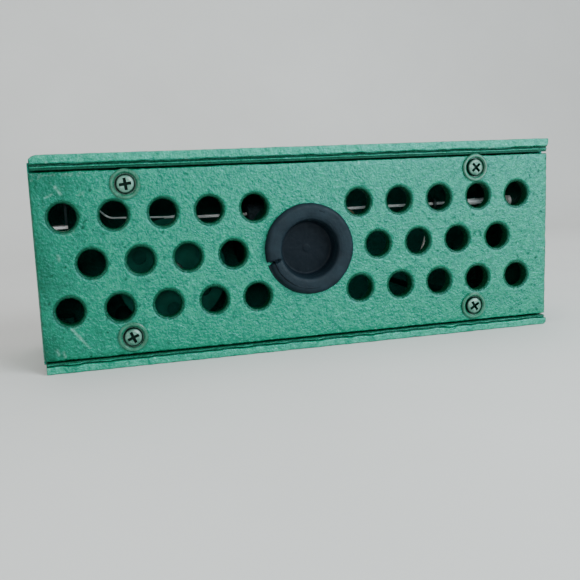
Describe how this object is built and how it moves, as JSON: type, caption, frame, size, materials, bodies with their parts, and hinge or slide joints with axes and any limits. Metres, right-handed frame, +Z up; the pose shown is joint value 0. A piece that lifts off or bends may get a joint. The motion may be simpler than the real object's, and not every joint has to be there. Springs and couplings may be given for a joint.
{
  "type": "chalk line",
  "caption": "Box chalk line: a painted case with a perforated cover, a rubber-stoppered chalk drum, a hand-cranked line reel with a drag brake and a flat end hook.",
  "frame": {"origin": "centre of the underside of the case, on the surface that it stands on", "axes": "+X along the case to the end that the line leaves from, +Y from the perforated cover to the back, +Z up"},
  "size_m": [0.23, 0.0765, 0.0872],
  "materials": {
    "green_enamel": "glossy, lumpy",
    "washer_enamel": "satin",
    "cover_screw_steel": "worn paint",
    "screw_zinc": "zinc plated",
    "post_steel": "turned",
    "drum_enamel": "matt",
    "felt": "felt",
    "blue_chalk": "powder",
    "bronze": "sintered",
    "spring_steel": "bright",
    "keeper_wire": "bright",
    "nickel": "polished",
    "line_cotton": "twisted",
    "line_wound": "twisted, chalky",
    "stopper_rubber": "matt",
    "reel_plastic": "matt",
    "crank_zinc": "cast",
    "grip_plastic": "gloss",
    "guide_brass": "turned",
    "hook_steel": "stamped"
  },
  "bodies": {
    "case": {"case_tray": "green_enamel", "top_plate": "green_enamel", "bottom_plate": "green_enamel", "plate_screws": "screw_zinc", "front_cover": "green_enamel", "cover_cup_washers": "washer_enamel", "cover_screws": "cover_screw_steel", "cover_posts": "post_steel", "back_screws": "screw_zinc", "chalk_drum": "drum_enamel", "felt_wipers": "felt", "chalk_powder": "blue_chalk", "reel_bush": "bronze", "guide_pins": "post_steel", "guide_clips": "spring_steel", "guide_sleeves": "guide_brass", "line_keeper": "keeper_wire", "brake_bracket": "spring_steel", "brake_screw": "screw_zinc", "line_nozzle": "nickel", "chalk_line": "line_cotton", "brake_wire": "spring_steel"},
    "stopper": {"rubber_stopper": "stopper_rubber"},
    "reel": {"reel_hub": "reel_plastic", "wound_line": "line_wound", "reel_front_flange": "reel_plastic", "reel_back_flange": "reel_plastic", "reel_spindle": "post_steel", "crank_arm": "crank_zinc", "crank_nut": "screw_zinc", "grip_hinge_pin": "post_steel"},
    "grip_stem": {"grip_rod": "post_steel"},
    "grip": {"crank_grip": "grip_plastic"},
    "line_end": {"line_bead": "nickel", "line_hook": "hook_steel"}
  },
  "joints": [
    {"name": "stopper_pull", "type": "slide", "parent": "case", "child": "stopper", "axis": [0, -1, 0], "range_m": [0, 0.03]},
    {"name": "line_pull", "type": "slide", "parent": "case", "child": "line_end", "axis": [1, 0, 0], "range_m": [0, 0.2]},
    {"name": "reel_spin", "type": "hinge", "parent": "case", "child": "reel", "pos_m": [-0.06, 0, 0.0356], "axis": [0, 1, 0], "continuous": true},
    {"name": "knob_fold", "type": "hinge", "parent": "reel", "child": "grip_stem", "pos_m": [-0.031, 0.0406, 0.0356], "axis": [0, 0, -1], "range_deg": [0, 90]},
    {"name": "knob_spin", "type": "hinge", "parent": "grip_stem", "child": "grip", "pos_m": [-0.0443, 0.0406, 0.0356], "axis": [-1, 0, 0], "continuous": true}
  ],
  "couplings": [
    {"joint": "reel_spin", "follows": "line_pull", "rad_per_m": 44.248}
  ]
}
